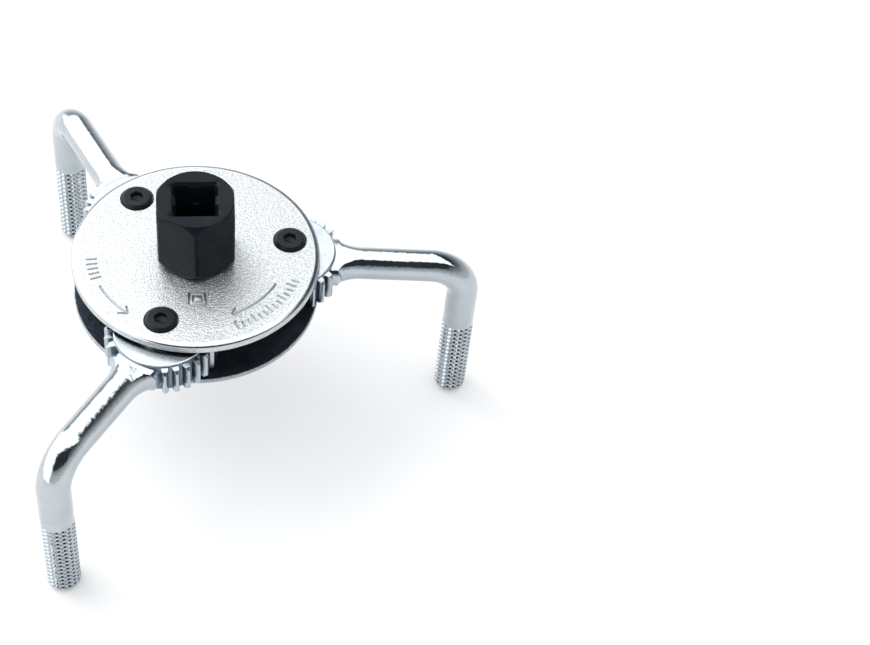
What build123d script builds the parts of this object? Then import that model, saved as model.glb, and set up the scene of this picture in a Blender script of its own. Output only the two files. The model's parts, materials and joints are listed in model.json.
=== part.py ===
"""Three-jaw oil filter wrench.

Two round plates carry three geared jaw arms on pivot pins.  A drive spindle in the middle, turned by a
square drive or a spanner on its hexagon, carries a sun gear that swings all three arms together.

Frame: millimetres, +Z up, standing on the tips of the jaw legs.  The origin is on the drive axis in the
plane of the leg tips, and the first arm's pivot is on +X.
"""
import os
from math import acos, cos, degrees, radians, sin, sqrt

from build123d import *

# ---- Driving dimensions ---------------------------------------------------------------------------------
arm_count = 3
plate_diameter = 62.0
plate_thickness = 2.4
plate_gap = 10.4
drive_rim_bevel = 0.6
filter_rim_bevel = 1.5
leg_length = 47.4          # from the rod's axis down to the leg's tip
arm_reach = 45.5           # from the pivot to the leg's axis
rod_diameter = 8.3
elbow_radius = 9.0         # of the rod's centre line
leg_tip_chamfer = 0.9
rod_root = 9.0             # where the rod starts inside the gear head, from the pivot
neck_root = 12.6           # the neck is where the rod's root flares into the gear head
neck_end = 18.5
neck_flare = 2.6           # how much wider the neck is than the rod on each side, at its root
neck_rounding = 0.49       # of the root's corners, as a share of its thickness

# Gear train: one sun gear in mesh with three equal gear heads.
gear_module = 0.9
sun_teeth = 24
head_teeth = 29
pressure_angle = 20.0
tooth_backlash = 0.12      # taken as half from each gear of a pair, on the pitch circle
gear_width = 8.5
tooth_end_chamfer = 0.7
rest_swing = -12.5         # of each arm from its radial direction, as the wrench stands open
spindle_rest_angle = -8.3  # of the square and the hexagon from X

# Drive spindle
hex_across_flats = 19.0
hex_height = 19.0          # above the drive plate
hex_foot_gap = 0.3         # running gap under the hexagon
hex_chamfer = 1.6          # of the hexagon's corners, at both ends
square_size = 9.6          # 3/8 inch square drive with its clearance
square_depth = 14.0
square_lead_in = 1.0
detent_radius = 1.4
detent_bite = 0.5
detent_depth = 5.6         # below the mouth of the square
journal_diameter = 18.0
gear_seat_diameter = 14.0
sun_hub_diameter = 17.4    # runs in the filter plate
sun_hub_recess = 0.5       # of the hub and spindle ends below the filter plate's outer face

# Pivots, screws and washers
pin_diameter = 7.6
pin_head_diameter = 8.6
pin_head_height = 1.0
pin_head_chamfer = 0.25
screw_head_diameter = 8.1
screw_head_height = 1.9
screw_head_stand_out = 0.9
screw_head_rounding = 0.6
screw_thread_diameter = 4.0
screw_thread_length = 9.0  # below the plate's inner face
screw_socket_flats = 3.0
screw_socket_depth = 1.2
washer_outer_diameter = 13.0
washer_thickness = 0.85
hub_washer_outer_diameter = 23.6
running_clearance = 0.05   # on a radius
washer_clearance = 0.1     # on a radius
screw_hole_clearance = 0.15

# ---- Worked out from the driving dimensions -------------------------------------------------------------
plate_radius = plate_diameter / 2
rod_radius = rod_diameter / 2
rod_z = leg_length
gap_bottom = rod_z - plate_gap / 2
gap_top = rod_z + plate_gap / 2
filter_face_z = gap_bottom - plate_thickness
drive_face_z = gap_top + plate_thickness
gear_bottom = rod_z - gear_width / 2
hub_radius = journal_diameter / 2
sun_hub_radius = sun_hub_diameter / 2
hub_end_z = filter_face_z + sun_hub_recess
sun_pitch_radius = gear_module * sun_teeth / 2
head_pitch_radius = gear_module * head_teeth / 2
pivot_radius = sun_pitch_radius + head_pitch_radius
head_pitch = 360 / head_teeth
sun_pitch = 360 / sun_teeth
arm_angles = [360 / arm_count * index for index in range(arm_count)]


def disc(radius, bottom, height, hole=0.0):
    """An upright round disc, or a ring where it has a hole, from the level bottom."""
    face = Circle(radius)
    if hole:
        face = face - Circle(hole)
    return Pos(0, 0, bottom) * extrude(face, height)


def turned(points):
    """A solid turned about Z from a closed outline of (radius, level) points."""
    outline = Polyline(*[(radius, 0, level) for radius, level in points], close=True)
    return revolve(make_face(outline), Axis.Z)


def at_pivot(angle):
    """The place of the pivot that lies at an angle from +X."""
    return Rot(0, 0, angle) * Pos(pivot_radius, 0, 0)


# ---- Gears ----------------------------------------------------------------------------------------------
def involute_angle(radius, base_radius):
    """How far round an involute has turned where it reaches a radius, in degrees."""
    roll = sqrt((radius / base_radius) ** 2 - 1)
    return degrees(roll - acos(base_radius / radius))


def polar(radius, angle):
    return (radius * cos(radians(angle)), radius * sin(radians(angle)))


def gear_outline(teeth):
    """The closed outline of an involute gear, with a tooth centred on +X."""
    pitch_radius = gear_module * teeth / 2
    base_radius = pitch_radius * cos(radians(pressure_angle))
    tip_radius = pitch_radius + gear_module
    root_radius = pitch_radius - 1.25 * gear_module
    half_tooth = 90 / teeth - degrees(tooth_backlash / 4 / pitch_radius)
    half_at_base = half_tooth + involute_angle(pitch_radius, base_radius)
    flank_steps = 4
    radii = [base_radius + (tip_radius - base_radius) * step / flank_steps for step in range(flank_steps + 1)]
    spread = [half_at_base - involute_angle(radius, base_radius) for radius in radii]
    pitch_angle = 360 / teeth
    edges = []
    for tooth in range(teeth):
        centre = tooth * pitch_angle
        rising = [polar(radius, centre - half) for radius, half in zip(radii, spread)]
        falling = [polar(radius, centre + half) for radius, half in zip(radii, spread)][::-1]
        root_start = polar(root_radius, centre + half_at_base)
        root_middle = polar(root_radius, centre + pitch_angle / 2)
        root_end = polar(root_radius, centre + pitch_angle - half_at_base)
        next_foot = polar(base_radius, centre + pitch_angle - half_at_base)
        edges.append(Spline(*rising))
        edges.append(ThreePointArc(rising[-1], polar(tip_radius, centre), falling[0]))
        edges.append(Spline(*falling))
        edges.append(Line(falling[-1], root_start))
        edges.append(ThreePointArc(root_start, root_middle, root_end))
        edges.append(Line(root_end, next_foot))
    return make_face(Wire(edges))


def gear_body(teeth):
    """A gear blank of the full width, its teeth bevelled at both ends."""
    tip_radius = gear_module * (teeth / 2 + 1)
    top = gear_bottom + gear_width
    teeth_solid = Pos(0, 0, gear_bottom) * extrude(gear_outline(teeth), gear_width)
    bevelled = turned([
        (0, gear_bottom),
        (tip_radius - tooth_end_chamfer, gear_bottom),
        (tip_radius, gear_bottom + tooth_end_chamfer),
        (tip_radius, top - tooth_end_chamfer),
        (tip_radius - tooth_end_chamfer, top),
        (0, top),
    ])
    return teeth_solid & bevelled


# ---- Plates ---------------------------------------------------------------------------------------------
def plate(inner_face_z, outer_face_z, rim_bevel, centre_hole, pivot_hole):
    """A round plate with a bevelled rim on its outer face, a centre hole and three pivot holes."""
    outwards = 1 if outer_face_z > inner_face_z else -1
    bottom = min(inner_face_z, outer_face_z)
    blank = turned([
        (0, inner_face_z),
        (plate_radius, inner_face_z),
        (plate_radius, outer_face_z - outwards * rim_bevel),
        (plate_radius - rim_bevel, outer_face_z),
        (0, outer_face_z),
    ])
    blank -= disc(centre_hole, bottom, plate_thickness)
    for angle in arm_angles:
        blank -= at_pivot(angle) * disc(pivot_hole, bottom, plate_thickness)
    return blank


def drive_plate():
    screw_hole = screw_thread_diameter / 2 + screw_hole_clearance
    body = plate(gap_top, drive_face_z, drive_rim_bevel, hub_radius + running_clearance, screw_hole)
    seat_radius = screw_head_diameter / 2 + screw_hole_clearance
    seat_depth = screw_head_height - screw_head_stand_out
    for angle in arm_angles:
        body -= at_pivot(angle) * disc(seat_radius, drive_face_z - seat_depth, seat_depth)
    return body


def filter_plate():
    centre_hole = sun_hub_radius + running_clearance
    return plate(gap_bottom, filter_face_z, filter_rim_bevel, centre_hole, pin_diameter / 2)


# ---- Drive spindle and sun gear -------------------------------------------------------------------------
def drive_spindle():
    """Hexagon with a square drive socket on top, a journal in the drive plate and a seat for the gear."""
    foot = drive_face_z + hex_foot_gap
    top = drive_face_z + hex_height
    corner_radius = hex_across_flats / sqrt(3)
    hexagon = RegularPolygon(hex_across_flats / 2, 6, major_radius=False, rotation=30)
    head = Pos(0, 0, foot) * extrude(hexagon, top - foot)
    flat_radius = hex_across_flats / 2
    drop = (corner_radius - flat_radius) * hex_chamfer
    head &= turned([
        (0, foot),
        (flat_radius, foot),
        (corner_radius, foot + drop),
        (corner_radius, top - drop),
        (flat_radius, top),
        (0, top),
    ])
    journal_bottom = gear_bottom + gear_width
    journal = disc(hub_radius, journal_bottom, foot - journal_bottom)
    seat = disc(gear_seat_diameter / 2, hub_end_z, journal_bottom - hub_end_z)
    body = head + journal + seat
    socket = Pos(0, 0, top - square_depth) * extrude(Rectangle(square_size, square_size), square_depth)
    body -= socket
    mouth = square_size + 2 * square_lead_in
    lead_in = loft([
        Pos(0, 0, top - square_lead_in) * Rectangle(square_size, square_size),
        Pos(0, 0, top) * Rectangle(mouth, mouth),
    ])
    body -= lead_in
    detent_plane = Plane.YZ.offset(square_size / 2) * Circle(detent_radius)
    detent = Pos(0, 0, top - detent_depth) * extrude(detent_plane, detent_bite)
    for quarter in range(4):
        body -= Rot(0, 0, 90 * quarter) * detent
    return Rot(0, 0, spindle_rest_angle) * body


def sun_gear():
    """Sun gear with a hub that runs in the filter plate, pressed on to the spindle's seat."""
    body = gear_body(sun_teeth) + disc(sun_hub_radius, hub_end_z, gear_bottom - hub_end_z)
    body -= disc(gear_seat_diameter / 2, hub_end_z, gear_bottom + gear_width - hub_end_z)
    # A sun tooth lies where the gear head leaves a space, on the line from the axis to the pivot.
    head_phase = (rest_swing - 180) / head_pitch
    return Rot(0, 0, -(head_phase + 0.5) * sun_pitch) * body


# ---- Jaw arms -------------------------------------------------------------------------------------------
def jaw_rod():
    """The bent round rod from inside the gear head out along +X and down to the leg's tip."""
    bend_start = arm_reach - elbow_radius
    bend_end = rod_z - elbow_radius
    reach = Plane.YZ.offset(rod_root) * Circle(rod_radius)
    straight = Pos(0, 0, rod_z) * extrude(reach, bend_start - rod_root)
    bend_face = Pos(bend_start, 0, rod_z) * (Plane.YZ * Circle(rod_radius))
    bend_axis = Axis((bend_start, 0, bend_end), (0, 1, 0))
    bend = revolve(bend_face, bend_axis, 90)
    leg = turned([
        (0, 0),
        (rod_radius - leg_tip_chamfer, 0),
        (rod_radius, leg_tip_chamfer),
        (rod_radius, bend_end),
        (0, bend_end),
    ])
    return straight + bend + Pos(arm_reach, 0, 0) * leg


def jaw_neck():
    """A flared neck, round like the rod at its outer end and as thick as the gear head at its root."""
    outer = Plane.YZ.offset(neck_end) * Circle(rod_radius)
    root_width = rod_diameter + 2 * neck_flare
    root = Plane.YZ.offset(neck_root) * RectangleRounded(root_width, gear_width, gear_width * neck_rounding)
    return Pos(0, 0, rod_z) * loft([root, outer])


def jaw_arm(index):
    """A gear head forged in one piece with its bent rod and leg, placed at rest."""
    body = gear_body(head_teeth) + jaw_rod() + jaw_neck()
    bore_radius = pin_diameter / 2 + running_clearance
    body -= disc(bore_radius, gear_bottom, gear_width)
    return at_pivot(arm_angles[index]) * Rot(0, 0, rest_swing) * body


# ---- Pins, screws and washers ---------------------------------------------------------------------------
def pivot_pin(index):
    """A headed pin pressed through the filter plate and tapped at its other end for the plate screw."""
    head_radius = pin_head_diameter / 2
    head_face = filter_face_z - pin_head_height
    body = turned([
        (0, head_face),
        (head_radius - pin_head_chamfer, head_face),
        (head_radius, head_face + pin_head_chamfer),
        (head_radius, filter_face_z),
        (pin_diameter / 2, filter_face_z),
        (pin_diameter / 2, gap_top),
        (0, gap_top),
    ])
    tapped_depth = screw_thread_length + 1
    body -= disc(screw_thread_diameter / 2, gap_top - tapped_depth, tapped_depth)
    return at_pivot(arm_angles[index]) * body


def plate_screw(index):
    """A low button-head screw with a hexagon socket, sunk a little into the drive plate."""
    head_radius = screw_head_diameter / 2
    shank_radius = screw_thread_diameter / 2
    head_bottom = drive_face_z + screw_head_stand_out - screw_head_height
    head_top = head_bottom + screw_head_height
    tip = gap_top - screw_thread_length
    body = turned([
        (0, tip),
        (shank_radius, tip),
        (shank_radius, head_bottom),
        (head_radius, head_bottom),
        (head_radius, head_top - screw_head_rounding),
        (head_radius - screw_head_rounding, head_top),
        (0, head_top),
    ])
    socket = RegularPolygon(screw_socket_flats / 2, 6, major_radius=False)
    body -= Pos(0, 0, head_top - screw_socket_depth) * extrude(socket, screw_socket_depth)
    return at_pivot(arm_angles[index]) * body


def thrust_washer(index, bottom):
    inner_radius = pin_diameter / 2 + washer_clearance
    return at_pivot(arm_angles[index]) * disc(washer_outer_diameter / 2, bottom, washer_thickness, inner_radius)


def hub_washer(shaft_radius, bottom):
    return disc(hub_washer_outer_diameter / 2, bottom, washer_thickness, shaft_radius + washer_clearance)


# ---- Writing the pieces ---------------------------------------------------------------------------------
def build_pieces():
    upper_washer_z = gap_top - washer_thickness
    pieces = {
        "drive_plate": drive_plate(),
        "filter_plate": filter_plate(),
        "drive_spindle": drive_spindle(),
        "sun_gear": sun_gear(),
        "hub_washer_drive_side": hub_washer(hub_radius, upper_washer_z),
        "hub_washer_filter_side": hub_washer(sun_hub_radius, gap_bottom),
    }
    for index in range(arm_count):
        number = index + 1
        pieces[f"jaw_arm_{number}"] = jaw_arm(index)
        pieces[f"pivot_pin_{number}"] = pivot_pin(index)
        pieces[f"plate_screw_{number}"] = plate_screw(index)
        pieces[f"thrust_washer_drive_side_{number}"] = thrust_washer(index, upper_washer_z)
        pieces[f"thrust_washer_filter_side_{number}"] = thrust_washer(index, gap_bottom)
    return pieces


os.makedirs("parts", exist_ok=True)
for node, solid in build_pieces().items():
    export_step(solid, f"parts/{node}.step")
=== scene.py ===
import json
import math

import bmesh
import bpy
from mathutils import Matrix, Vector


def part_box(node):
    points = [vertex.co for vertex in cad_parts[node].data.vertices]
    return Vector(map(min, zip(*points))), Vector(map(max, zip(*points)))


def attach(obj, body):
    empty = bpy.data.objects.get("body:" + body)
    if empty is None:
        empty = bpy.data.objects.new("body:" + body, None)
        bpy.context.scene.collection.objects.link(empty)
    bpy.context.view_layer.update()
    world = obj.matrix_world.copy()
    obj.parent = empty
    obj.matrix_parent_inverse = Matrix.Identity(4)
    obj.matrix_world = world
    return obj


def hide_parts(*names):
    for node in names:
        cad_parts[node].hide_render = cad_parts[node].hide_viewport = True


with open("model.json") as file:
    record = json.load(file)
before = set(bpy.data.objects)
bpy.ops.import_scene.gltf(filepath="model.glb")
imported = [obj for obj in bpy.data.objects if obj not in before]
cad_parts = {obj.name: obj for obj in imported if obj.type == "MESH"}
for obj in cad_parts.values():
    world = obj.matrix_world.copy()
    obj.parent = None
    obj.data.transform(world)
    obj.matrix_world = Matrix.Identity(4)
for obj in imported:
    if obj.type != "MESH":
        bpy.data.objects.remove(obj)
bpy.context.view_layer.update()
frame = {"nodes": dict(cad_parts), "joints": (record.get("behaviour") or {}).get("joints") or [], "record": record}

MM = 0.001

# ---- Sizes read from the frame --------------------------------------------------------------
joints = {joint["name"]: joint for joint in frame["joints"]}
mounts = {mount["name"]: mount for mount in frame["record"]["mounts"]}
arm_numbers = (1, 2, 3)


def box_mm(node):
    low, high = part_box(node)
    return low / MM, high / MM


def flat(point):
    """The X and Y of a point given in metres, in millimetres."""
    return Vector((point[0] / MM, point[1] / MM))


drive_low, drive_high = box_mm("drive_plate")
filter_low, filter_high = box_mm("filter_plate")
spindle_low, spindle_high = box_mm("drive_spindle")
pin_low, pin_high = box_mm("pivot_pin_1")
screw_low, screw_high = box_mm("plate_screw_1")

plate_radius = drive_high.x
gap_top = drive_low.z
gap_bottom = filter_high.z
drive_face = drive_high.z
filter_face = filter_low.z
rod_z = (gap_top + gap_bottom) / 2
pivots = {number: flat(joints[f"arm_{number}_swing"]["pos_m"]) for number in arm_numbers}
leg_tips = {number: flat(mounts[f"leg_tip_{number}"]["pos_m"]) for number in arm_numbers}
arm_reach = (leg_tips[1] - pivots[1]).length
pin_head_radius = (pin_high.x - pin_low.x) / 2
screw_head_radius = (screw_high.x - screw_low.x) / 2

# ---- Sizes that the CAD model shares, in millimetres ----------------------------------------
gear_module = 0.9
sun_teeth = 24
head_teeth = 29
pressure_angle = math.radians(20)
dedendum = 1.25                # of a tooth below the pitch circle, in modules
tooth_thinning = 0.06          # of each gear, on its pitch circle
gear_half_width = 4.25
tooth_end_bevel = 0.7
rod_radius = 4.15
elbow_radius = 9.0
leg_tip_bevel = 0.9
neck_root = 12.6
neck_end = 18.5
neck_flare = 2.6
neck_dip = 0.55                # of its top and bottom, where it meets the gear
neck_bare_angle = math.radians(30)
head_disc_height = 0.6
hex_flats_radius = 9.5
hex_foot = drive_face + 0.3
square_half = 4.8
square_depth = 14.0
square_lead_in = 1.0
journal_radius = 9.0
seat_radius = 7.0
sun_hub_radius = 8.7
running_clearance = 0.05       # on a radius
pin_radius = 3.8
screw_shank_radius = 2.0
screw_hole_clearance = 0.15
screw_seat_floor = gap_top + 1.4

# ---- Knurl on the legs ----------------------------------------------------------------------
knurl_height = 26.4
knurl_columns = 16
knurl_rows = 16
knurl_depth = 0.5
knurl_steps = (0.0, 0.26, 0.5, 0.74)   # across one stud: groove, then the stud's flat top
knurl_run_in = 0.35            # from the smooth leg down to the first groove

# ---- Camera and studio ----------------------------------------------------------------------
camera_azimuth = -8.34         # seen from the middle of the drive plate's outer face
camera_elevation = 47.64
camera_distance = 465.1
camera_aim = (53.7, -32.9, 55.0)
camera_roll = 7.5
camera_lens = 76.06
sensor_width = 36.0
camera_near_clip = 10.0
camera_far_clip = 20000.0
white = (1.0, 1.0, 1.0)
softbox_strength = 2.2
# Each edge fades in from its first value to its second. Angles lean from overhead towards the camera,
# and the other values are the sine of the lean to the right.
softbox_front_edge = (math.radians(20), math.radians(15))
softbox_back_edge = (math.radians(-68), math.radians(-61))
softbox_corner_turn = math.radians(35)   # its right edge is turned this far towards the back
softbox_right_edge = (0.59, 0.50)
left_panel_edge = (-0.50, -0.60)
dark_card_edges = (math.radians(62), math.radians(57))   # it hangs in front, below the softbox
dark_card_side = (0.60, 0.48)
dark_card_tone = (0.035, 0.045, 0.055)
wall_tones = [                 # by the sine of the height above the horizon
    (0.0, (0.86, 0.86, 0.86)),
    (0.22, (0.64, 0.66, 0.68)),
    (0.42, (0.34, 0.36, 0.37)),
    (0.56, (0.16, 0.18, 0.19)),
    (0.70, (0.035, 0.045, 0.055)),
]
even_light = (0.985, 0.99, 1.0)
even_strength = 1.12
floor_tone = 0.93
floor_half_width = 4000.0
floor_roughness = 0.9
floor_specular = 0.1
lamp_place = (-350.0, 250.0, 550.0)
lamp_target = (0.0, 0.0, 40.0)
lamp_width = 500.0
lamp_power = 1.6               # watts


# ---- Mesh helpers ---------------------------------------------------------------------------
corner_steps = 4               # of a rounded corner's arc
longest_support = 0.05         # from the arc's ends to the points that keep the sides beside it straight
sliver_size = 0.002
level_normal = 0.99            # a face is level if its normal's z is more than this
upright_normal = 0.3           # and upright if it is less than this
level_tolerance = 0.01


def circle(radius, z, count):
    """A level ring of points about the Z axis."""
    return [
        (radius * math.cos(2 * math.pi * i / count), radius * math.sin(2 * math.pi * i / count), z)
        for i in range(count)
    ]


def softened(corners):
    """An open profile of (radius, z, rounding) corners as points, each rounded corner as an arc."""
    points = []
    for i, (r, z, rounding) in enumerate(corners):
        here = Vector((r, z))
        if not rounding or i in (0, len(corners) - 1):
            points.append(here)
            continue
        before = Vector(corners[i - 1][:2])
        after = Vector(corners[i + 1][:2])
        into = (before - here).normalized()
        out = (after - here).normalized()
        half_angle = into.angle(out) / 2
        tangent = rounding / math.tan(half_angle)
        centre = here + (into + out).normalized() * (rounding / math.sin(half_angle))
        start = here + into * tangent
        end = here + out * tangent
        support = min(longest_support, rounding / 4)
        arc_turn = (start - centre).angle(end - centre)
        points.append(start + into * support)
        for step in range(corner_steps + 1):
            share = step / corner_steps
            weight_start = math.sin((1 - share) * arc_turn) / math.sin(arc_turn)
            weight_end = math.sin(share * arc_turn) / math.sin(arc_turn)
            spoke = (start - centre) * weight_start + (end - centre) * weight_end
            points.append(centre + spoke)
        points.append(end + out * support)
    return [(point.x, point.y) for point in points]


def turned_rings(corners, count):
    return [circle(r, z, count) for r, z in softened(corners)]


def signed_volume(points, faces):
    """The volume that the faces close, times six. It is negative if their fronts are inside."""
    total = 0.0
    for face in faces:
        first = Vector(points[face[0]])
        for j, k in zip(face[1:], face[2:]):
            total += first.dot(Vector(points[j]).cross(Vector(points[k])))
    return total


class Shells:
    """Collects closed shells, each a stack of rings, as one mesh."""

    def __init__(self):
        self.points = []
        self.faces = []
        self.finishes = []

    def add(self, rings, looped=False, finish=0):
        """Joins rings of equal length with faces, and closes both ends or joins the last to the first."""
        count = len(rings[0])
        base = len(self.points)
        for ring in rings:
            self.points.extend(ring)
        faces = []
        pairs = len(rings) if looped else len(rings) - 1
        for i in range(pairs):
            low = base + i * count
            high = base + ((i + 1) % len(rings)) * count
            for j in range(count):
                k = (j + 1) % count
                faces.append((low + j, low + k, high + k, high + j))
        if not looped:
            last = base + (len(rings) - 1) * count
            faces.append(tuple(base + j for j in reversed(range(count))))
            faces.append(tuple(last + j for j in range(count)))
        if signed_volume(self.points, faces) < 0:
            faces = [face[::-1] for face in faces]
        self.faces.extend(faces)
        self.finishes.extend([finish] * len(faces))
        return self

    def mesh(self, name, place=Matrix.Identity(4), sharp_angle=30):
        data = bpy.data.meshes.new(name)
        points = [place @ Vector(point) * MM for point in self.points]
        data.from_pydata(points, [], self.faces)
        data.polygons.foreach_set("material_index", self.finishes)
        data.validate()
        return shaded(data, sharp_angle)


def piece(name, data, materials, body, slot, *nodes):
    """A finished piece that stands for CAD nodes and rides on their body."""
    made = bpy.data.objects.new(name, data)
    bpy.context.scene.collection.objects.link(made)
    for material in materials:
        data.materials.append(material)
    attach(made, body)
    if nodes:
        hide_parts(*nodes)
    return made


def with_modifier(data, kind, **settings):
    """A new mesh: the given one with a modifier applied to it."""
    holder = bpy.data.objects.new("holder", data)
    bpy.context.scene.collection.objects.link(holder)
    modifier = holder.modifiers.new("modifier", kind)
    for key, value in settings.items():
        setattr(modifier, key, value)
    bpy.context.view_layer.update()
    evaluated = holder.evaluated_get(bpy.context.evaluated_depsgraph_get())
    result = bpy.data.meshes.new_from_object(evaluated)
    bpy.data.objects.remove(holder)
    return result


def shaded(data, sharp_angle=30):
    """The mesh smooth below an edge angle, with large faces setting the normals so that flats stay flat."""
    data.polygons.foreach_set("use_smooth", [True] * len(data.polygons))
    data.set_sharp_from_angle(angle=math.radians(sharp_angle))
    return with_modifier(data, "WEIGHTED_NORMAL", keep_sharp=True, weight=100)


def drop_slivers(data):
    """Dissolves the edges and faces of no size that a cut can leave."""
    mesh = bmesh.new()
    mesh.from_mesh(data)
    bmesh.ops.remove_doubles(mesh, verts=mesh.verts, dist=sliver_size * MM)
    bmesh.ops.dissolve_degenerate(mesh, edges=mesh.edges, dist=sliver_size * MM)
    mesh.to_mesh(data)
    mesh.free()


def carved(data, cutter):
    """The first mesh with the second cut out of it."""
    tool = bpy.data.objects.new("cutter", cutter)
    bpy.context.scene.collection.objects.link(tool)
    result = with_modifier(data, "BOOLEAN", operation="DIFFERENCE", solver="EXACT", use_self=True,
                           object=tool)
    bpy.data.objects.remove(tool)
    drop_slivers(result)
    return shaded(result)


# ---- Materials ------------------------------------------------------------------------------
noise_middle = (0.35, 0.65)    # most values of a noise lie between these
first_tint = 0.3               # the noise's value at the first tint
tint_span = 0.4                # from there to its value at the last tint
patch_share = 0.45             # size of the patches of roughness, against the blotches of tint


class Nodes:
    """Short calls for building one node tree."""

    def __init__(self, tree):
        self.tree = tree
        self.tree.nodes.clear()

    def add(self, kind, **settings):
        node = self.tree.nodes.new(kind)
        for key, value in settings.items():
            setattr(node, key, value)
        return node

    def link(self, source, target):
        self.tree.links.new(source, target)

    def noise(self, coordinates, scale, detail=2.0, roughness=0.5):
        node = self.add("ShaderNodeTexNoise")
        node.inputs["Scale"].default_value = scale
        node.inputs["Detail"].default_value = detail
        node.inputs["Roughness"].default_value = roughness
        self.link(coordinates, node.inputs["Vector"])
        return node.outputs["Fac"]

    def spread(self, value, low, high):
        """Maps the middle of a noise on to a range of values."""
        node = self.add("ShaderNodeMapRange")
        node.inputs["From Min"].default_value = noise_middle[0]
        node.inputs["From Max"].default_value = noise_middle[1]
        node.inputs["To Min"].default_value = low
        node.inputs["To Max"].default_value = high
        self.link(value, node.inputs["Value"])
        return node.outputs["Result"]

    def ramp(self, value, stops):
        node = self.add("ShaderNodeValToRGB")
        elements = node.color_ramp.elements
        elements[0].position, elements[0].color = stops[0][0], (*stops[0][1], 1)
        elements[1].position, elements[1].color = stops[-1][0], (*stops[-1][1], 1)
        for position, colour in stops[1:-1]:
            elements.new(position).color = (*colour, 1)
        self.link(value, node.inputs["Fac"])
        return node.outputs["Color"]

    def bump(self, height, strength, distance):
        node = self.add("ShaderNodeBump")
        node.inputs["Strength"].default_value = strength
        node.inputs["Distance"].default_value = distance
        self.link(height, node.inputs["Height"])
        return node.outputs["Normal"]


def metal(name, tints, roughness, grain_size, grain_strength, metallic=1.0, blotch_size=6.0,
          specular=0.5):
    """A metal finish: blotchy tint, uneven roughness and a grain, with sizes in millimetres."""
    material = bpy.data.materials.new(name)
    material.use_nodes = True
    nodes = Nodes(material.node_tree)
    output = nodes.add("ShaderNodeOutputMaterial")
    shader = nodes.add("ShaderNodeBsdfPrincipled")
    place = nodes.add("ShaderNodeTexCoord").outputs["Object"]
    shader.inputs["Metallic"].default_value = metallic
    shader.inputs["Specular IOR Level"].default_value = specular
    blotches = nodes.noise(place, 1 / (blotch_size * MM), detail=3.0)
    steps = [first_tint + tint_span * i / (len(tints) - 1) for i in range(len(tints))]
    nodes.link(nodes.ramp(blotches, list(zip(steps, tints))), shader.inputs["Base Color"])
    patches = nodes.noise(place, 1 / (blotch_size * patch_share * MM), detail=4.0, roughness=0.6)
    nodes.link(nodes.spread(patches, *roughness), shader.inputs["Roughness"])
    grain = nodes.noise(place, 1 / (grain_size * MM), roughness=0.6)
    normal = nodes.bump(grain, grain_strength, grain_size * MM)
    nodes.link(normal, shader.inputs["Normal"])
    nodes.link(shader.outputs["BSDF"], output.inputs["Surface"])
    return material


pale_chrome = [(0.43, 0.48, 0.52), (0.50, 0.54, 0.56)]
bright_zinc = metal("bright_zinc", [(0.45, 0.48, 0.495), (0.58, 0.61, 0.62), (0.68, 0.70, 0.70)],
                    (0.18, 0.27), 0.28, 0.55, metallic=0.9, blotch_size=0.55)
blasted_zinc = metal("blasted_zinc", [(0.24, 0.29, 0.32), (0.36, 0.41, 0.44), (0.50, 0.55, 0.58)],
                     (0.30, 0.42), 0.36, 1.0, blotch_size=0.55)
# rim zinc: the lower roughness and finer grain are burnish, the darker tint is a painted dark reflection
burnished_painted_reflection_zinc = metal("burnished_painted_reflection_zinc", [(0.44, 0.48, 0.51), (0.52, 0.55, 0.57)],
                       (0.12, 0.20), 0.26, 0.08)
# darker zinc: painted shade on the floors and sloped sides of the stamped grooves
painted_shade_stamp_zinc = metal("painted_shade_stamp_zinc", [(0.20, 0.23, 0.24), (0.30, 0.33, 0.34)], (0.30, 0.45), 0.2, 0.3)
yellow_zinc = metal("yellow_zinc", [(0.55, 0.54, 0.42), (0.68, 0.64, 0.50), (0.60, 0.62, 0.52)],
                    (0.28, 0.40), 0.6, 0.15, blotch_size=2.5)
chrome = metal("chrome_plate", pale_chrome, (0.06, 0.13), 1.8, 0.05)
satin_chrome = metal("satin_chrome", pale_chrome, (0.16, 0.28), 0.22, 0.14)
# darker chrome: painted shade in the gaps between a jaw arm's teeth
painted_shade_chrome = metal("painted_shade_chrome", [(0.10, 0.14, 0.19), (0.20, 0.25, 0.31)],
                       (0.25, 0.40), 0.3, 0.2)
# near-black metal: painted shade on the plates' inner faces, where the gap between them lies in shadow
painted_shade_steel = metal("painted_shade_steel", [(0.018, 0.024, 0.033), (0.042, 0.055, 0.072)],
                      (0.40, 0.60), 0.8, 0.3, metallic=0.6, specular=0.2)
washer_steel = metal("washer_steel", [(0.32, 0.33, 0.34), (0.42, 0.43, 0.44)], (0.30, 0.42), 0.5, 0.10)
black_oxide = metal("black_oxide", [(0.003, 0.006, 0.011), (0.008, 0.012, 0.013)],
                    (0.24, 0.36), 0.3, 0.10, metallic=0.3, specular=0.14)
black_screw = metal("black_screw", [(0.006, 0.010, 0.012), (0.012, 0.018, 0.020)],
                    (0.32, 0.44), 0.4, 0.12, metallic=0.3, specular=0.21)


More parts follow.
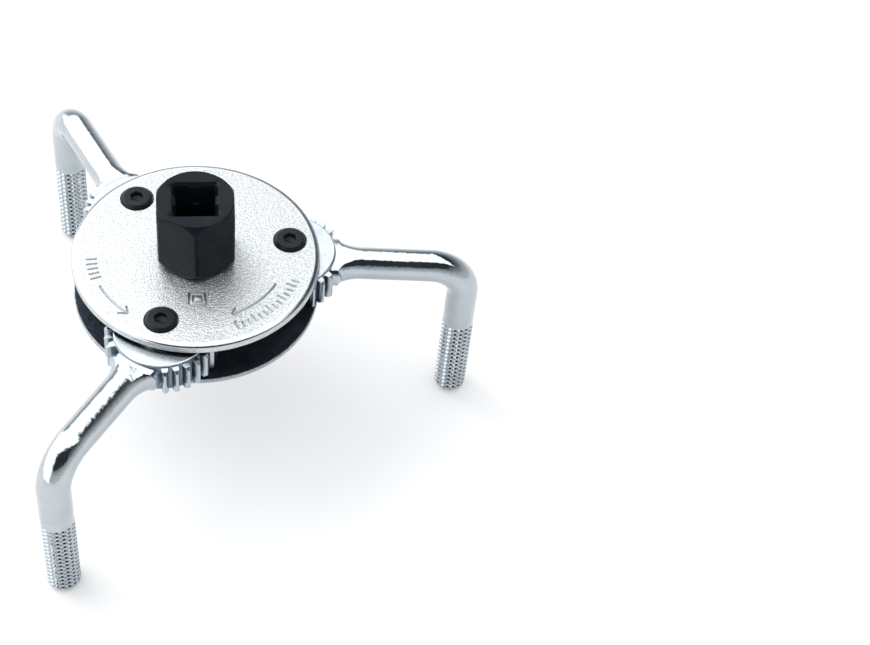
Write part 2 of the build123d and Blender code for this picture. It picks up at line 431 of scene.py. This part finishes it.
# ---- Gears ----------------------------------------------------------------------------------
flank_steps = 4
tip_rounding = 0.10            # off the corners of a tooth's tip, along its flanks
tip_easing = 0.006             # and along the tip, in radians
fillet_height = 0.08
fillet_share = 0.08            # of half the space between two teeth, from the tooth to the fillet's point
root_end_share = 0.35          # to where the root is level
root_middle_share = 0.99       # to just beside the middle
bore_bevel = 0.3
face_inset = 0.25              # from the teeth's roots to the edge of the level face
disc_foot_inset = 0.15         # and to the foot of the raised disc
disc_edge = [                  # inwards from the teeth's roots, and down from the disc's face
    (0.20, 0.30),
    (0.30, 0.10),
    (0.50, 0.0),
    (0.54, 0.0),
]
groove_pitch = 0.85
groove_depth = 0.16
groove_count = 7
groove_margin = 0.15           # outside the last groove
groove_floor_shares = (0.22, 0.50)   # of the pitch, from one side of a groove to its floor's two edges
groove_end_share = 0.72              # and to its other side


def involute_turn(radius, base_radius):
    """The angle by which an involute has turned at a radius, from where it starts."""
    roll = math.sqrt(max((radius / base_radius) ** 2 - 1, 0))
    return roll - math.atan(roll)


def gear_polar_outline(teeth, bare_half_angle):
    """A gear's outline as (radius, angle) points. The angle 0 meets a tooth, or a bare part's middle."""
    pitch_radius = gear_module * teeth / 2
    base_radius = pitch_radius * math.cos(pressure_angle)
    tip_radius = pitch_radius + gear_module
    root_radius = pitch_radius - dedendum * gear_module
    half_tooth = math.pi / 2 / teeth - tooth_thinning / 2 / pitch_radius
    half_at_base = half_tooth + involute_turn(pitch_radius, base_radius)
    pitch_angle = 2 * math.pi / teeth
    flank = []
    for step in range(flank_steps + 1):
        radius = base_radius + (tip_radius - tip_rounding - base_radius) * step / flank_steps
        flank.append((radius, half_at_base - involute_turn(radius, base_radius)))
    half_at_tip = half_at_base - involute_turn(tip_radius, base_radius) - tip_easing
    root_half = pitch_angle / 2 - half_at_base
    outline = []
    for tooth in range(teeth):
        centre = tooth * pitch_angle
        start = centre - half_at_base
        end = centre + half_at_base
        outline.append((root_radius, start - root_half * root_middle_share))
        outline.append((root_radius, start - root_half * root_end_share))
        outline.append((root_radius + fillet_height, start - root_half * fillet_share))
        outline.extend((radius, centre - half) for radius, half in flank)
        outline.append((tip_radius, centre - half_at_tip))
        outline.append((tip_radius, centre))
        outline.append((tip_radius, centre + half_at_tip))
        outline.extend((radius, centre + half) for radius, half in reversed(flank))
        outline.append((root_radius + fillet_height, end + root_half * fillet_share))
        outline.append((root_radius, end + root_half * root_end_share))
    return [
        (root_radius if abs(math.remainder(angle, 2 * math.pi)) < bare_half_angle else radius, angle)
        for radius, angle in outline
    ]


def gear_rings(teeth, bore, bare_half_angle=0.0, disc_height=0.0):
    """A bored gear, bevelled at its teeth's ends. A jaw arm's has a raised disc and a grooved face."""
    outline = gear_polar_outline(teeth, bare_half_angle)
    tip_radius = gear_module * (teeth / 2 + 1)
    root_radius = gear_module * (teeth / 2 - dedendum)
    end_radius = tip_radius - tooth_end_bevel
    low = rod_z - gear_half_width
    high = rod_z + gear_half_width
    shoulder = high - disc_height

    def outline_ring(limit, z):
        return [(min(r, limit) * math.cos(a), min(r, limit) * math.sin(a), z) for r, a in outline]

    def level_ring(radius, z):
        return [(radius * math.cos(a), radius * math.sin(a), z) for _, a in outline]

    rings = [level_ring(bore, low + bore_bevel), level_ring(bore + bore_bevel, low)]
    if disc_height:
        rings += grooves(root_radius - face_inset, low, level_ring)
    rings += [
        level_ring(root_radius - face_inset, low),
        outline_ring(end_radius, low),
        outline_ring((end_radius + tip_radius) / 2, low + tooth_end_bevel / 2),
        outline_ring(tip_radius, low + tooth_end_bevel),
        outline_ring(tip_radius, shoulder - tooth_end_bevel),
        outline_ring((end_radius + tip_radius) / 2, shoulder - tooth_end_bevel / 2),
        outline_ring(end_radius, shoulder),
        level_ring(root_radius - disc_foot_inset, shoulder),
    ]
    if disc_height:
        rings += [level_ring(root_radius - inwards, high - down) for inwards, down in disc_edge]
    rings += [level_ring(bore + bore_bevel, high), level_ring(bore, high - bore_bevel)]
    return rings


def grooves(face_edge, low, level_ring):
    """Concentric turned grooves, from the middle outwards, in the face at the level low."""
    rings = []
    start = face_edge - groove_pitch * groove_count - groove_margin
    for i in range(groove_count):
        inner = start + i * groove_pitch
        rings.append(level_ring(inner, low))
        for share in groove_floor_shares:
            rings.append(level_ring(inner + groove_pitch * share, low + groove_depth))
        rings.append(level_ring(inner + groove_pitch * groove_end_share, low))
    return rings


# ---- Jaw arms -------------------------------------------------------------------------------
neck_steps = 10
bend_steps = 20
neck_overlap = 3.0             # of the rod's root inside the gear head
round_section = 2.0            # exponent of a rod section's curve, where it is round
root_section = 3.0             # and at the root, where it is squarer
root_shade_height = 0.95       # how far the painted shade reaches up the teeth's sides, outwards from their roots
root_shade_inset = 0.3         # and inwards
column_angles = [
    2 * math.pi * (column + step) / knurl_columns for column in range(knurl_columns) for step in knurl_steps
]


def rod_ring(centre, along, half_width, half_height, squareness=round_section):
    """A ring round the rod's path, whose direction lies in the XZ plane."""
    up = Vector((-along.z, 0, along.x))
    side = Vector((0, 1, 0))
    ring = []
    for angle in column_angles:
        cosine = math.cos(angle)
        sine = math.sin(angle)
        across = math.copysign(abs(cosine) ** (2 / squareness), cosine) * half_width
        raised = math.copysign(abs(sine) ** (2 / squareness), sine) * half_height
        ring.append(tuple(centre + side * across + up * raised))
    return ring


def rod_rings():
    """The bent rod: flared neck, straight, elbow, leg and knurl, in the arm's own frame along +X."""
    along = Vector((1, 0, 0))
    neck_length = neck_end - neck_root
    inner_end = Vector((neck_root - neck_overlap, 0, rod_z))
    rings = [rod_ring(inner_end, along, rod_radius + neck_flare, rod_radius - neck_dip, root_section)]
    for step in range(neck_steps + 1):
        share = step / neck_steps
        flare = neck_flare * (1 - math.sqrt(max(1 - (1 - share) ** 2, 0)))
        squareness = round_section + (root_section - round_section) * (1 - share) ** 2
        height = rod_radius - neck_dip * (1 - share) ** 2
        x = neck_root + neck_length * share
        rings.append(rod_ring(Vector((x, 0, rod_z)), along, rod_radius + flare, height, squareness))
    bend_x = arm_reach - elbow_radius
    bend_z = rod_z - elbow_radius
    for step in range(bend_steps + 1):
        turn = math.pi / 2 * step / bend_steps
        centre = Vector((bend_x + elbow_radius * math.sin(turn), 0, bend_z + elbow_radius * math.cos(turn)))
        direction = Vector((math.cos(turn), 0, -math.sin(turn)))
        rings.append(rod_ring(centre, direction, rod_radius, rod_radius))
    rings += knurl_rings()
    return rings


def knurl_rings():
    """Rings down the knurled end of the leg. A stud stands where both its row and its column do."""
    row_pitch = (knurl_height - leg_tip_bevel) / knurl_rows
    valley = rod_radius - knurl_depth

    def round_ring(radius, z):
        return [(arm_reach + radius * math.sin(a), radius * math.cos(a), z) for a in column_angles]

    def studded_ring(z):
        ring = []
        for j, angle in enumerate(column_angles):
            radius = rod_radius if j % len(knurl_steps) != 0 else valley
            ring.append((arm_reach + radius * math.sin(angle), radius * math.cos(angle), z))
        return ring

    rings = [round_ring(rod_radius, knurl_height + knurl_run_in)]
    for row in range(knurl_rows):
        for step in knurl_steps:
            z = knurl_height - (row + step) * row_pitch
            rings.append(round_ring(valley, z) if step == 0 else studded_ring(z))
    rings.append(round_ring(valley, leg_tip_bevel))
    rings.append(round_ring(rod_radius - leg_tip_bevel, 0.0))
    return rings


def paint_root_shade(data, pivot):
    """Gives the faces low between a jaw arm's teeth the finish in the third place: a darker chrome that paints the
    shade in the gaps between the teeth.
    """
    root_radius = gear_module * (head_teeth / 2 - dedendum)
    for polygon in data.polygons:
        distance = (polygon.center.xy / MM - pivot).length
        upright = abs(polygon.normal.z) < upright_normal
        if upright and root_radius - root_shade_inset < distance < root_radius + root_shade_height:
            polygon.material_index = 2


def make_arm(number):
    pivot = pivots[number]
    direction = leg_tips[number] - pivot
    turn = math.atan2(direction.y, direction.x)
    place = Matrix.Translation((pivot.x, pivot.y, 0)) @ Matrix.Rotation(turn, 4, "Z")
    head = gear_rings(head_teeth, pin_radius + running_clearance, neck_bare_angle, head_disc_height)
    shells = Shells()
    shells.add(head, looped=True, finish=1)
    shells.add(rod_rings())
    name = f"jaw_arm_{number}_finished"
    data = shells.mesh(name, place)
    paint_root_shade(data, pivot)
    finishes = [chrome, satin_chrome, painted_shade_chrome]
    piece(name, data, finishes, f"arm_{number}", "chrome_plate", f"jaw_arm_{number}")


# ---- Plates ---------------------------------------------------------------------------------
plate_count = 192              # points round a plate's rim
edge_steps = 9
cut_overshoot = 1.0            # of a hole's cutter past the plate's faces
drive_rim_across = 1.5         # the rounding of the drive plate's outer rim
drive_rim_down = 0.75
drive_inner_rounding = 0.35
drive_hole_bevel = 0.25
screw_hole_overlap = 0.5       # of the screw holes' cutters into the seats
screw_seat_bevel = 0.12
filter_rim_across = 2.6
filter_rim_down = 1.6
filter_inner_rounding = 0.3
filter_hole_bevel = 0.4
hole_count = 64
filter_hole_count = 96


def ring_tool(radius, low, high, centre=(0, 0), top_bevel=0.0, bottom_bevel=0.0, count=hole_count):
    """A round cutter through a plate, flared at one end if the hole's edge there is bevelled."""
    corners = [(radius, low), (radius, high)]
    if top_bevel:
        corners[1:] = [
            (radius, high - cut_overshoot - top_bevel),
            (radius + top_bevel + cut_overshoot, high),
        ]
    if bottom_bevel:
        corners[:1] = [
            (radius + bottom_bevel + cut_overshoot, low),
            (radius, low + cut_overshoot + bottom_bevel),
        ]
    rings = [circle(r, z, count) for r, z in corners]
    return [[(x + centre[0], y + centre[1], z) for x, y, z in ring] for ring in rings]


def edge(radius, face, across, down):
    """Points round a plate's edge from its face to its side: a quarter of an ellipse."""
    points = []
    for step in range(edge_steps + 1):
        angle = math.pi / 2 * step / edge_steps
        points.append((radius - across * (1 - math.sin(angle)), face - down * (1 - math.cos(angle))))
    return points


def disc_blank(profile, name):
    """A turned disc, its faces closed by one polygon each."""
    return Shells().add([circle(r, z, plate_count) for r, z in profile]).mesh(name)


def paint_shade_inside(data, level):
    """Gives the faces at a level, the plate's inner side, the finish in the second place: a near-black metal that
    paints the shade in the gap between the two plates.
    """
    for polygon in data.polygons:
        flat_face = abs(polygon.normal.z) > level_normal
        if flat_face and abs(polygon.center.z / MM - level) < level_tolerance:
            polygon.material_index = 1


def burnish_rim_and_paint_reflection(data):
    """Gives the rounded rim of the drive plate's outer face the finish in the fourth place: smoother than the
    face, and with a darker tint that paints a dark reflection along the rim.
    """
    for polygon in data.polygons:
        height = polygon.center.z / MM
        distance = polygon.center.xy.length / MM
        if distance > plate_radius - drive_rim_across and drive_face - drive_rim_down < height < drive_face:
            polygon.material_index = 3


def make_drive_plate():
    outer_rim = edge(plate_radius, drive_face, drive_rim_across, drive_rim_down)
    inner_rim = edge(plate_radius, gap_top, drive_inner_rounding, -drive_inner_rounding)
    body = disc_blank(inner_rim + outer_rim[::-1], "drive_plate_blank")
    low = gap_top - cut_overshoot
    high = drive_face + cut_overshoot
    hole_radius = screw_shank_radius + screw_hole_clearance
    recess_radius = screw_head_radius + screw_hole_clearance
    holes = Shells()
    holes.add(ring_tool(journal_radius + running_clearance, low, high, top_bevel=drive_hole_bevel))
    for pivot in pivots.values():
        holes.add(ring_tool(hole_radius, low, screw_seat_floor + screw_hole_overlap, pivot))
    body = carved(body, holes.mesh("drive_plate_holes"))
    seats = Shells()
    for pivot in pivots.values():
        seats.add(ring_tool(recess_radius, screw_seat_floor, high, pivot, screw_seat_bevel))
    body = carved(body, seats.mesh("screw_seats"))
    body = carved(body, stamped_marks().mesh("marks"))
    paint_shade_inside(body, gap_top)
    paint_shade_in_stamps(body)
    burnish_rim_and_paint_reflection(body)
    finishes = [bright_zinc, painted_shade_steel, painted_shade_stamp_zinc, burnished_painted_reflection_zinc]
    piece("drive_plate_finished", body, finishes, "plates", "bright_zinc", "drive_plate")


def make_filter_plate():
    outer_rim = edge(plate_radius, filter_face, filter_rim_across, -filter_rim_down)
    inner_rim = edge(plate_radius, gap_bottom, filter_inner_rounding, filter_inner_rounding)
    body = disc_blank(outer_rim + inner_rim[::-1], "filter_plate_blank")
    low = filter_face - cut_overshoot
    high = gap_bottom + cut_overshoot
    holes = Shells()
    holes.add(ring_tool(sun_hub_radius + running_clearance, low, high, bottom_bevel=filter_hole_bevel,
                        count=filter_hole_count))
    for pivot in pivots.values():
        holes.add(ring_tool(pin_radius, low, high, pivot))
    body = carved(body, holes.mesh("filter_plate_holes"))
    paint_shade_inside(body, gap_bottom)
    finishes = [blasted_zinc, painted_shade_steel]
    piece("filter_plate_finished", body, finishes, "plates", "blasted_zinc", "filter_plate")


# ---- Marks stamped in the drive plate, with angles round the drive axis in degrees ----------
stroke_depth = 0.34
stroke_rise = 0.3              # of the cutter above the plate
stroke_floor_width = 0.12
stroke_slope = 0.85            # how far each side of a stroke leans out, for its height
stroke_steps = 36
arrows = [                     # radius, start and end
    (22.4, 322, 284),
    (26.0, 196, 221),
]
barb_width = 1.6
barb_length = 4.0              # degrees
barb_overlap = 0.6             # degrees past the arrow's end
scales = [                     # first angle, number of ticks, and how often one is long
    (283, 14, 3),
    (176, 5, 1),
]
tick_pitch = 3.5
long_tick_start = 24.6
short_tick_start = 25.5
tick_end = 27.4
square_mark_radius = 15.4
square_mark_angle = 262
square_mark_sizes = (1.0, 2.0)
marks_start = 11.0             # the marks lie between these distances from the drive axis
marks_end = 28.5


def groove_section(middle, outwards):
    """Four corners of a groove cutter, narrow at the groove's floor and wider above the plate."""
    floor = Vector(outwards) * stroke_floor_width / 2
    brim = Vector(outwards) * (stroke_floor_width / 2 + (stroke_depth + stroke_rise) * stroke_slope)
    low = drive_face - stroke_depth
    high = drive_face + stroke_rise
    return [
        (middle[0] - floor.x, middle[1] - floor.y, low),
        (middle[0] + floor.x, middle[1] + floor.y, low),
        (middle[0] + brim.x, middle[1] + brim.y, high),
        (middle[0] - brim.x, middle[1] - brim.y, high),
    ]


def arc_stroke(radius, start, end):
    """A groove cutter that runs round the drive axis, from one angle to another."""
    angles = [math.radians(start + (end - start) * step / stroke_steps) for step in range(stroke_steps + 1)]
    spokes = [(math.cos(angle), math.sin(angle)) for angle in angles]
    return [groove_section((radius * c, radius * s), (c, s)) for c, s in spokes]


def straight_stroke(start, end):
    """A straight groove cutter from one point to another."""
    along = (Vector(end) - Vector(start)).normalized()
    return [groove_section(point, (-along.y, along.x)) for point in (start, end)]


def on_plate(radius, angle):
    return (radius * math.cos(math.radians(angle)), radius * math.sin(math.radians(angle)))


def stamped_marks():
    """Generic marks stamped in the drive plate: two turning arrows, two rows of ticks and two squares."""
    marks = Shells()
    for radius, start, end in arrows:
        marks.add(arc_stroke(radius, start, end))
        towards = 1 if end > start else -1
        for side in (-1, 1):
            barb = on_plate(radius + side * barb_width, end - towards * barb_length)
            tip = on_plate(radius, end + towards * barb_overlap)
            marks.add(straight_stroke(barb, tip))
    for first_angle, ticks, long_every in scales:
        for tick in range(ticks):
            angle = first_angle + tick * tick_pitch
            inner = long_tick_start if tick % long_every == 0 else short_tick_start
            marks.add(straight_stroke(on_plate(inner, angle), on_plate(tick_end, angle)))
    square_centre = Vector(on_plate(square_mark_radius, square_mark_angle))
    for half in square_mark_sizes:
        for quarter in range(4):
            turn = math.radians(square_mark_angle + 90 * quarter)
            outwards = Vector((math.cos(turn), math.sin(turn)))
            side = Vector((-outwards.y, outwards.x)) * half
            middle = square_centre + outwards * half
            marks.add(straight_stroke(middle - side, middle + side))
    return marks


def paint_shade_in_stamps(data):
    """Gives the faces of the shallow grooves in the drive plate the finish in the third place, a darker zinc that
    paints the shade in the grooves.
    """
    for polygon in data.polygons:
        depth = drive_face - polygon.center.z / MM
        distance = polygon.center.xy.length / MM
        shallow = level_tolerance < depth < stroke_depth + level_tolerance
        sloped = upright_normal < polygon.normal.z < level_normal
        on_the_floor = abs(depth - stroke_depth) < level_tolerance
        if marks_start < distance < marks_end and shallow and (sloped or on_the_floor):
            polygon.material_index = 2


# ---- Drive spindle and sun gear -------------------------------------------------------------
spindle_turn = math.radians(-8.3)
spindle_count = 240            # points round a ring
spindle_angles = [2 * math.pi * i / spindle_count for i in range(spindle_count)]
spindle_end_bevel = 0.4
hex_bevel_slope = 1.6          # how far the bevels of the corners run along, for each millimetre in
hex_bevel_steps = 14
hex_corner_rounding = 0.12
hex_bevel_blend = 0.22         # the width of the rounding between a bevel and a flat
hex_foot_inset = 0.35
square_corner_rounding = 0.25
square_lip = 0.12              # the rounding at the square's mouth
square_lip_depth = 0.05
detent_sections = [            # outwards from the square's side, and radius
    (-1.2, 1.4),
    (0.1, 1.4),
    (0.5, 0.8),
]
detent_drop = 5.6              # from the hexagon's top to a recess's middle
detent_count = 24
hub_count = 96
hub_bevel = 0.35
hub_overlap = 0.5              # of the hub into the gear


def polygon_radius(angle, flats_radius, sides, corner_rounding):
    """Distance to the outline of a regular polygon with rounded corners. A flat faces the angle 0."""
    step = 2 * math.pi / sides
    offset = (angle + step / 2) % step - step / 2
    to_flat = flats_radius / math.cos(offset)
    corner = flats_radius / math.cos(step / 2)
    return soft_min(to_flat, corner - corner_rounding, corner_rounding)


def soft_min(a, b, width):
    """The smaller of two values, with a rounded change from one to the other."""
    closeness = max(width - abs(a - b), 0) / width
    return min(a, b) - closeness * closeness * width / 4


def spindle_rings():
    """The shaft from its lower end up, the hexagon, and the square socket down to its floor."""
    top = spindle_high.z
    gear_top = rod_z + gear_half_width
    mouth = square_half + square_lead_in
    socket_floor = top - square_depth
    corner_radius = hex_flats_radius / math.cos(math.pi / 6)
    bevel_height = (corner_radius - hex_flats_radius) * hex_bevel_slope
    bevel_levels = [bevel_height * i / hex_bevel_steps for i in range(hex_bevel_steps + 1)]

    def placed(radius_at, z):
        return [(radius_at(a) * math.cos(a + spindle_turn), radius_at(a) * math.sin(a + spindle_turn), z)
                for a in spindle_angles]

    def hexagon_ring(z):
        cone = hex_flats_radius + min(z - hex_foot, top - z) / hex_bevel_slope

        def radius_at(angle):
            side = polygon_radius(angle, hex_flats_radius, 6, hex_corner_rounding)
            return soft_min(side, cone, hex_bevel_blend)

        return placed(radius_at, z)

    def square_ring(half, z):
        return placed(lambda a: polygon_radius(a, half, 4, square_corner_rounding), z)

    def round_ring(radius, z):
        return placed(lambda a: radius, z)

    return [
        round_ring(seat_radius - spindle_end_bevel, spindle_low.z),
        round_ring(seat_radius, spindle_low.z + spindle_end_bevel),
        round_ring(seat_radius, gear_top),
        round_ring(journal_radius, gear_top),
        round_ring(journal_radius, hex_foot),
        round_ring(hex_flats_radius - hex_foot_inset, hex_foot),
        *[hexagon_ring(hex_foot + level) for level in bevel_levels],
        *[hexagon_ring(top - level) for level in reversed(bevel_levels)],
        round_ring(hex_flats_radius - hex_bevel_blend, top),
        square_ring(mouth + square_lip, top),
        square_ring(mouth, top - square_lip_depth),
        square_ring(square_half, top - square_lead_in),
        square_ring(square_half, socket_floor),
        square_ring(square_half / 2, socket_floor),
    ]


def detent_recesses():
    """Four round recesses in the sides of the square socket."""
    recesses = Shells()
    for quarter in range(4):
        turn = spindle_turn + quarter * math.pi / 2
        outwards = Vector((math.cos(turn), math.sin(turn), 0))
        side = Vector((-outwards.y, outwards.x, 0))
        rings = []
        for beyond, radius in detent_sections:
            middle = outwards * (square_half + beyond) + Vector((0, 0, spindle_high.z - detent_drop))
            rings.append([
                tuple(middle + side * radius * math.cos(t) + Vector((0, 0, radius * math.sin(t))))
                for t in (2 * math.pi * i / detent_count for i in range(detent_count))
            ])
        recesses.add(rings)
    return recesses


def make_spindle():
    data = Shells().add(spindle_rings()).mesh("drive_spindle_finished", sharp_angle=35)
    data = carved(data, detent_recesses().mesh("detents"))
    piece("drive_spindle_finished", data, [black_oxide], "drive", "black_oxide", "drive_spindle")


def make_sun_gear():
    """The gear and its hub, turned so that the gear's teeth mesh with the first arm's."""
    hub_face = box_mm("sun_gear")[0].z
    hub_top = rod_z - gear_half_width + hub_overlap
    rest_swing = math.degrees(math.atan2(*(leg_tips[1] - pivots[1]).yx))
    head_phase = (rest_swing - 180) / (360 / head_teeth)
    turn = math.radians(-(head_phase + 0.5) * 360 / sun_teeth)
    hub = [
        circle(seat_radius, hub_top, hub_count),
        circle(seat_radius, hub_face + bore_bevel, hub_count),
        circle(seat_radius + bore_bevel, hub_face, hub_count),
        circle(sun_hub_radius - hub_bevel, hub_face, hub_count),
        circle(sun_hub_radius, hub_face + hub_bevel, hub_count),
        circle(sun_hub_radius, hub_top, hub_count),
    ]
    shells = Shells()
    shells.add(gear_rings(sun_teeth, seat_radius), looped=True)
    shells.add(hub, looped=True)
    data = shells.mesh("sun_gear_finished", Matrix.Rotation(turn, 4, "Z"))
    piece("sun_gear_finished", data, [black_oxide], "drive", "black_oxide", "sun_gear")


# ---- Pins and screws ------------------------------------------------------------------------
fastener_count = 72            # points round a ring
pin_middle_radius = 0.6        # of the small faces that close a pin's ends
pin_rounding = 0.3
screw_end_bevel = 0.4
screw_head_drop = 0.75         # of the button head's shoulder, and how far in its flat top starts
screw_foot_rounding = 0.1
screw_side_rounding = 0.25
screw_top_rounding = 0.35
screw_flat_share = 1.45        # the flat top's inner edge, against the socket's half width
screw_socket_half = 1.5
screw_socket_depth = 1.2
screw_socket_rounding = 0.05
screw_socket_lead_in = 0.18
screw_drill_radius = 0.4
screw_drill_depth = 0.35


def make_pin(number):
    corners = [
        (pin_middle_radius, pin_low.z, 0),
        (pin_head_radius, pin_low.z, pin_rounding),
        (pin_head_radius, filter_face, 0),
        (pin_radius, filter_face, 0),
        (pin_radius, gap_top, pin_rounding),
        (pin_middle_radius, gap_top, 0),
    ]
    name = f"pivot_pin_{number}_finished"
    place = Matrix.Translation((*pivots[number], 0))
    data = Shells().add(turned_rings(corners, fastener_count)).mesh(name, place)
    piece(name, data, [yellow_zinc], "plates", "yellow_zinc", f"pivot_pin_{number}")


def make_screw(number):
    top = screw_high.z
    socket_floor = top - screw_socket_depth
    corners = [
        (screw_shank_radius - screw_end_bevel, screw_low.z, 0),
        (screw_shank_radius, screw_low.z + screw_end_bevel, 0),
        (screw_shank_radius, screw_seat_floor, 0),
        (screw_head_radius, screw_seat_floor, screw_foot_rounding),
        (screw_head_radius, top - screw_head_drop, screw_side_rounding),
        (screw_head_radius - screw_head_drop, top, screw_top_rounding),
        (screw_socket_half * screw_flat_share, top, 0),
    ]

    def socket_ring(half, z):
        ring = []
        for i in range(fastener_count):
            angle = 2 * math.pi * i / fastener_count
            radius = polygon_radius(angle, half, 6, screw_socket_rounding)
            ring.append((radius * math.cos(angle), radius * math.sin(angle), z))
        return ring

    rings = turned_rings(corners, fastener_count) + [
        socket_ring(screw_socket_half + screw_socket_lead_in, top),
        socket_ring(screw_socket_half, top - screw_socket_lead_in),
        socket_ring(screw_socket_half, socket_floor),
        circle(screw_drill_radius, socket_floor - screw_drill_depth, fastener_count),
    ]
    name = f"plate_screw_{number}_finished"
    place = Matrix.Translation((*pivots[number], 0))
    data = Shells().add(rings).mesh(name, place)
    piece(name, data, [black_screw], "plates", "black_screw", f"plate_screw_{number}")


# ---- Studio ---------------------------------------------------------------------------------
def make_floor():
    half = floor_half_width * MM
    corners = [(-half, -half, 0), (half, -half, 0), (half, half, 0), (-half, half, 0)]
    data = bpy.data.meshes.new("floor")
    data.from_pydata(corners, [], [(0, 1, 2, 3)])
    floor = bpy.data.objects.new("floor", data)
    bpy.context.scene.collection.objects.link(floor)
    material = bpy.data.materials.new("pale_floor")
    material.use_nodes = True
    shader = material.node_tree.nodes["Principled BSDF"]
    shader.inputs["Base Color"].default_value = (floor_tone, floor_tone, floor_tone, 1)
    shader.inputs["Roughness"].default_value = floor_roughness
    shader.inputs["Specular IOR Level"].default_value = floor_specular
    data.materials.append(material)


def make_world():
    """White to the camera, and even to soft light. Glossy reflections see a studio: a broad softbox
    overhead and behind, a white panel on the left, a dark card in front, and walls that are dark above
    and light near the horizon."""
    world = bpy.data.worlds.new("studio")
    bpy.context.scene.world = world
    world.use_nodes = True
    nodes = Nodes(world.node_tree)
    output = nodes.add("ShaderNodeOutputWorld")
    direction = nodes.add("ShaderNodeTexCoord").outputs["Generated"]
    azimuth = math.radians(camera_azimuth)
    towards_camera = (math.sin(azimuth), -math.cos(azimuth), 0)
    sideways = (math.cos(azimuth), math.sin(azimuth), 0)

    def along(vector):
        node = nodes.add("ShaderNodeVectorMath", operation="DOT_PRODUCT")
        nodes.link(direction, node.inputs[0])
        node.inputs[1].default_value = vector
        return node.outputs["Value"]

    def calculated(operation, *values):
        node = nodes.add("ShaderNodeMath", operation=operation)
        for socket, value in zip(node.inputs, values):
            nodes.link(value, socket)
        return node.outputs["Value"]

    def step_up(value, low, high):
        node = nodes.add("ShaderNodeMapRange", interpolation_type="SMOOTHSTEP")
        node.inputs["From Min"].default_value = low
        node.inputs["From Max"].default_value = high
        nodes.link(value, node.inputs["Value"])
        return node.outputs["Result"]

    def background(colour, strength):
        node = nodes.add("ShaderNodeBackground")
        node.inputs["Color"].default_value = (*colour, 1)
        node.inputs["Strength"].default_value = strength
        return node

    def mixed(share, a, b):
        node = nodes.add("ShaderNodeMixShader")
        nodes.link(share, node.inputs["Fac"])
        nodes.link(a, node.inputs[1])
        nodes.link(b, node.inputs[2])
        return node.outputs["Shader"]

    height = along((0, 0, 1))
    lean = calculated("ARCTAN2", along(towards_camera), height)
    front_edge = step_up(lean, *softbox_front_edge)
    back_edge = step_up(lean, *softbox_back_edge)
    back_right = (Vector(sideways) * math.cos(softbox_corner_turn)
                  - Vector(towards_camera) * math.sin(softbox_corner_turn))
    right_edge = step_up(along(back_right), *softbox_right_edge)
    left_panel = step_up(along(sideways), *left_panel_edge)
    overhead = calculated("MULTIPLY", calculated("MULTIPLY", front_edge, back_edge), right_edge)
    in_softbox = calculated("MAXIMUM", overhead, left_panel)
    softbox = background(white, softbox_strength)
    walls = background(white, 1.0)
    nodes.link(nodes.ramp(height, wall_tones), walls.inputs["Color"])
    under_softbox = step_up(lean, 0.0, softbox_front_edge[0])
    card_height = calculated("MULTIPLY", step_up(lean, *dark_card_edges), under_softbox)
    card_side = step_up(calculated("ABSOLUTE", along(sideways)), *dark_card_side)
    card = background(dark_card_tone, 1.0)
    unlit = mixed(calculated("MULTIPLY", card_height, card_side), walls.outputs["Background"],
                  card.outputs["Background"])
    reflected = mixed(in_softbox, unlit, softbox.outputs["Background"])
    even = background(even_light, even_strength)
    seen = background(white, 1.0)
    path = nodes.add("ShaderNodeLightPath")
    lit = mixed(path.outputs["Is Glossy Ray"], even.outputs["Background"], reflected)
    shown = mixed(path.outputs["Is Camera Ray"], lit, seen.outputs["Background"])
    nodes.link(shown, output.inputs["Surface"])


def make_lights():
    data = bpy.data.lights.new("softbox", "AREA")
    data.shape = "RECTANGLE"
    data.size = lamp_width * MM
    data.size_y = lamp_width * MM
    data.energy = lamp_power
    lamp = bpy.data.objects.new("softbox", data)
    bpy.context.scene.collection.objects.link(lamp)
    lamp.location = Vector(lamp_place) * MM
    lamp.rotation_euler = (Vector(lamp_target) * MM - lamp.location).to_track_quat("-Z", "Y").to_euler()


def make_camera():
    data = bpy.data.cameras.new("camera")
    data.lens = camera_lens
    data.sensor_width = sensor_width
    data.clip_start = camera_near_clip * MM
    data.clip_end = camera_far_clip * MM
    camera = bpy.data.objects.new("camera", data)
    bpy.context.scene.collection.objects.link(camera)
    azimuth = math.radians(camera_azimuth)
    elevation = math.radians(camera_elevation)
    back = Vector((math.sin(azimuth) * math.cos(elevation),
                   -math.cos(azimuth) * math.cos(elevation),
                   math.sin(elevation)))
    camera.location = (Vector((0, 0, drive_face)) + back * camera_distance) * MM
    look = (Vector(camera_aim) * MM - camera.location).to_track_quat("-Z", "Y")
    roll = Matrix.Rotation(math.radians(camera_roll), 3, "Z").to_quaternion()
    camera.rotation_mode = "QUATERNION"
    camera.rotation_quaternion = look @ roll
    bpy.context.scene.camera = camera


# ---- Everything -----------------------------------------------------------------------------
make_camera()
make_floor()
make_world()
make_lights()
make_drive_plate()
make_filter_plate()
make_spindle()
make_sun_gear()
for arm_number in arm_numbers:
    make_arm(arm_number)
    make_pin(arm_number)
    make_screw(arm_number)
for node, cad_object in frame["nodes"].items():
    if "washer" in node:
        cad_object.data.materials.clear()
        cad_object.data.materials.append(washer_steel)

view_settings = bpy.context.scene.view_settings
view_settings.view_transform = "Standard"
view_settings.look = "None"
